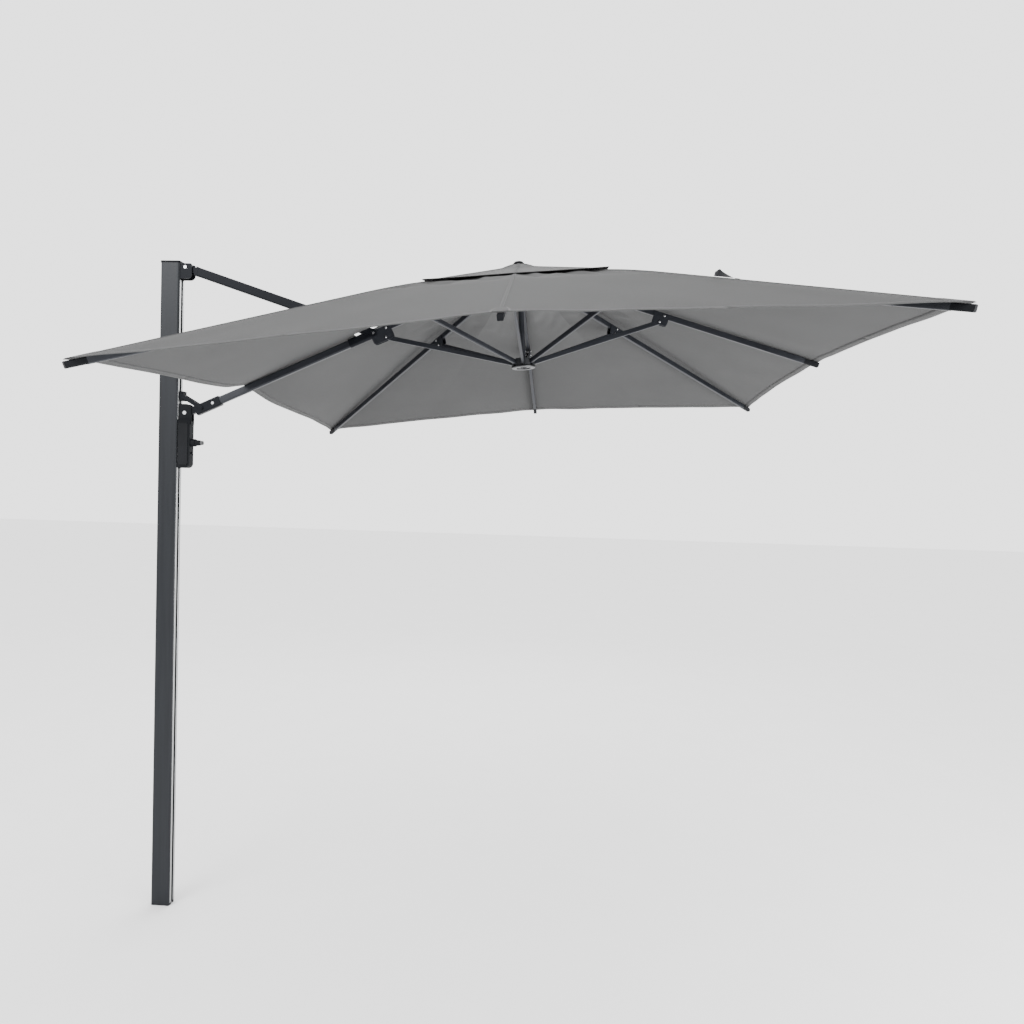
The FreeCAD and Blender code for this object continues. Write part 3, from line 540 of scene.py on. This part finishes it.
store = ([], [], [])
verts, uvs, faces = store
section = [(-0.016, 0.0010), (-0.006, 0.0015), (0.0010, 0.0006), (0.0010, -0.0006), (-0.006, -0.0015), (-0.016, -0.0010)]
m = len(section)
for k in range(1, 9):
    for j in range(per):
        for dh, up in section:
            verts.append(G(vent(VENT + dh, k, j / per) + vent_normal(VENT + min(dh, -0.003), k, j / per) * up))
            uvs.append((dh + 0.0115, ((k - 1) + j / per) * VENT))
for i in range(n):
    for j in range(m):
        a, b = i * m + j, i * m + (j + 1) % m
        c, d = ((i + 1) % n) * m + (j + 1) % m, ((i + 1) % n) * m + j
        faces.append((a, b, c, d))
for k in range(1, 9):
    base, steps = len(verts), 22
    for i in range(steps + 1):
        h = 0.024 + (VENT - 0.010 - 0.024) * i / steps
        for off, up in SEAM:
            verts.append(G(vent(h, k, off / h) + vent_normal(h, k, max(off, 0.0) / h) * up))
            uvs.append((off, h))
    for i in range(steps):
        for j in range(len(SEAM) - 1):
            a = base + i * len(SEAM) + j
            faces.append((a, a + 1, a + len(SEAM) + 1, a + len(SEAM)))
vent_trim = make("vent_trim", verts, faces, TRIM, uvs)
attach(vent_trim, "hub")

# ------------------------------------------------------------------ closing strap, folded back on the near right corner rib
verts, uvs, faces = [], [], []
K_STRAP = 6 if abs(math.degrees(azimuth(6)) % 360 - 45) > 1 else 4
for k in range(2, 9):
    if abs((math.degrees(azimuth(k)) % 360) - 315) < 1:
        K_STRAP = k
path = [0.690 + 0.070 * i / 30 for i in range(31)]
w, m = 0.026, 9
for i, h in enumerate(path):
    q = i / 30
    lean = math.radians(50 + 40 * smooth(0.0, 0.12, q)) if q < 0.16 else math.asin(1 - 0.93 * (q - 0.16) / 0.84)
    for j in range(m):
        out = w * j / (m - 1)
        verts.append(lifted(K_STRAP, h, out * math.cos(lean) / h, 0.003 + out * math.sin(lean)))
        uvs.append((out, i * 0.0033))
for i in range(len(path) - 1):
    for j in range(m - 1):
        a, d = i * m + j, (i + 1) * m + j
        faces.append((a, a + 1, d + 1, d))
# its dark colour is painted shade for the flap's shaded side
strap = make("closing_strap", verts, faces, STRAP_PAINTED_SHADE, uvs)
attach(strap, "rib_%d" % K_STRAP)

# ------------------------------------------------------------------ bright fittings
def rib_point(k, along, across, up):
    """A point in rib k's own frame, along it from the hub pin, in metres."""
    a, t = azimuth(k), SLOPE[kind(k)]
    r = HUB_R + along * math.cos(t) + up * math.sin(t)
    z = HUB_Z - along * math.sin(t) + up * math.cos(t)
    return G((r * math.cos(a) - across * math.sin(a), r * math.sin(a) + across * math.cos(a), z))


def dome(store, k, along, side, up, radius, height, base_y, rings=5, around=20):
    """A domed rivet head with a small shoulder, standing on a cheek."""
    verts, faces = store
    base = len(verts)
    rows = [(radius, 0.0), (radius, height * 0.35)] + [(radius * math.cos(i / rings * math.pi / 2) * 0.94, height * (0.45 + 0.55 * math.sin(i / rings * math.pi / 2))) for i in range(rings)]
    for r, out in rows:
        for j in range(around):
            q = 2 * math.pi * j / around
            verts.append(rib_point(k, along + r * math.cos(q), side * (base_y + out), up + r * math.sin(q)))
    verts.append(rib_point(k, along, side * (base_y + height), up))
    top = len(verts) - 1
    for i in range(len(rows) - 1):
        for j in range(around):
            a, b = base + i * around + j, base + i * around + (j + 1) % around
            f = (a, b, b + around, a + around)
            faces.append(f if side > 0 else f[::-1])
    last = base + (len(rows) - 1) * around
    for j in range(around):
        f = (last + j, last + (j + 1) % around, top)
        faces.append(f if side > 0 else f[::-1])


SEAT = {"mid": 0.588, "corner": 0.577, "boom": 0.588}
for k in range(1, 9):
    store = ([], [])
    for side in (-1, 1):
        if k == 1:
            dome(store, k, SEAT["boom"], side, -0.0377, 0.0046, 0.0018, 0.0128)
            dome(store, k, SEAT["boom"] - 0.016, side, 0.0, 0.0046, 0.0018, 0.0128)
        else:
            dome(store, k, SEAT[kind(k)], side, -0.030, 0.0046, 0.0018, 0.0128)
            dome(store, k, SEAT[kind(k)] + 0.012, side, 0.0, 0.0046, 0.0018, 0.0128)
    o = make("bracket_rivets_%d" % k, store[0], store[1], STEEL)
    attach(o, "boom" if k == 1 else "rib_%d" % k)

# light metal strips on the lips of the mast's track, a painted highlight for the reflection along their edges, and the
# worn ring under the runner
verts, faces = [], []
for y0, y1 in ((-0.0195, -0.0078), (0.0078, 0.0195)):
    ring = [(0.0440, y0), (0.0446, y0 + 0.0006), (0.0446, y1 - 0.0006), (0.0440, y1)]
    base, n_z = len(verts), 24
    for i in range(n_z + 1):
        z = 0.012 + (2.826 - 0.012) * i / n_z
        verts += [Vector((x, y, z)) for x, y in ring]
    for i in range(n_z):
        for j in range(4):
            a, b = base + i * 4 + j, base + i * 4 + (j + 1) % 4
            faces.append((a, b, b + 4, a + 4))
    faces += [(base + 3, base + 2, base + 1, base), (base + n_z * 4, base + n_z * 4 + 1, base + n_z * 4 + 2, base + n_z * 4 + 3)]
lips = make("track_lips_painted_highlight", verts, faces, LIP_PAINTED_HIGHLIGHT)
for poly in lips.data.polygons:
    poly.use_smooth = False
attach(lips, "mast")

verts, faces = [], []
outline = [(0.0310, -0.1862), (0.0310, -0.1878), (0.0325, -0.1890), (0.0480, -0.1890), (0.0500, -0.1880), (0.0508, -0.1862), (0.0508, -0.1800), (0.0502, -0.1800), (0.0500, -0.1862)]
around = 96
for r, z in outline:
    for j in range(around):
        q = 2 * math.pi * j / around
        verts.append(G((r * math.cos(q), r * math.sin(q), z)))
for i in range(len(outline)):
    for j in range(around):
        a, b = i * around + j, i * around + (j + 1) % around
        c, d = ((i + 1) % len(outline)) * around + (j + 1) % around, ((i + 1) % len(outline)) * around + j
        faces.append((a, b, c, d))
ring = make("runner_ring", verts, faces, RING)
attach(ring, "runner")

# ------------------------------------------------------------------ floor, light and camera
bpy.ops.mesh.primitive_plane_add(size=60, location=(1.4, 0, -0.001))
floor = bpy.context.object
floor.name = "floor"
fm, ft, fp = new_material("floor_paint")
fn = node(ft, "ShaderNodeTexNoise", Scale=3.0, Detail=3.0)
ft.links.new(ft.nodes.new("ShaderNodeTexCoord").outputs["Object"], fn.inputs["Vector"])
ft.links.new(mix_colour(ft, fn.outputs["Fac"], (0.82, 0.82, 0.82), (0.86, 0.86, 0.86)), fp.inputs["Base Color"])
fp.inputs["Roughness"].default_value = 0.8
floor.data.materials.append(fm)

world = bpy.data.worlds.new("studio")
bpy.context.scene.world = world
world.use_nodes = True
bg = world.node_tree.nodes["Background"]
bg.inputs["Color"].default_value = (1.0, 1.0, 1.0, 1)
bg.inputs["Strength"].default_value = 2.5


def area_light(name, at, to, size, power):
    light = bpy.data.lights.new(name, "AREA")
    light.shape = "RECTANGLE"
    light.size, light.size_y = size
    light.energy = power
    o = bpy.data.objects.new(name, light)
    bpy.context.scene.collection.objects.link(o)
    o.location = at
    o.rotation_euler = (Vector(to) - Vector(at)).to_track_quat("-Z", "Y").to_euler()
    return o


area_light("key", (-2.2, -4.2, 5.2), (1.4, 0, 2.0), (3.0, 3.0), 220)
area_light("fill", (5.4, -2.2, 0.9), (1.6, 0.3, 2.6), (3.0, 3.0), 430)
area_light("back", (1.5, 4.6, 4.6), (1.4, 0, 2.4), (4.0, 2.0), 120)

yaw, pitch, roll = -0.0680063, -0.0275347, 0.0286813
fwd = Vector((math.sin(yaw) * math.cos(pitch), math.cos(yaw) * math.cos(pitch), math.sin(pitch)))
right = Vector((math.cos(yaw), -math.sin(yaw), 0))
up = right.cross(fwd)
r2 = right * math.cos(roll) + up * math.sin(roll)
u2 = up * math.cos(roll) - right * math.sin(roll)
cam_data = bpy.data.cameras.new("camera")
cam_data.sensor_width = 36
cam_data.lens = 768.834 * 36 / 1024
cam_data.clip_start, cam_data.clip_end = 0.05, 200
cam = bpy.data.objects.new("camera", cam_data)
bpy.context.scene.collection.objects.link(cam)
cam.matrix_world = Matrix(((r2.x, u2.x, -fwd.x, 1.78049), (r2.y, u2.y, -fwd.y, -3.35533), (r2.z, u2.z, -fwd.z, 1.92942), (0, 0, 0, 1)))
bpy.context.scene.camera = cam
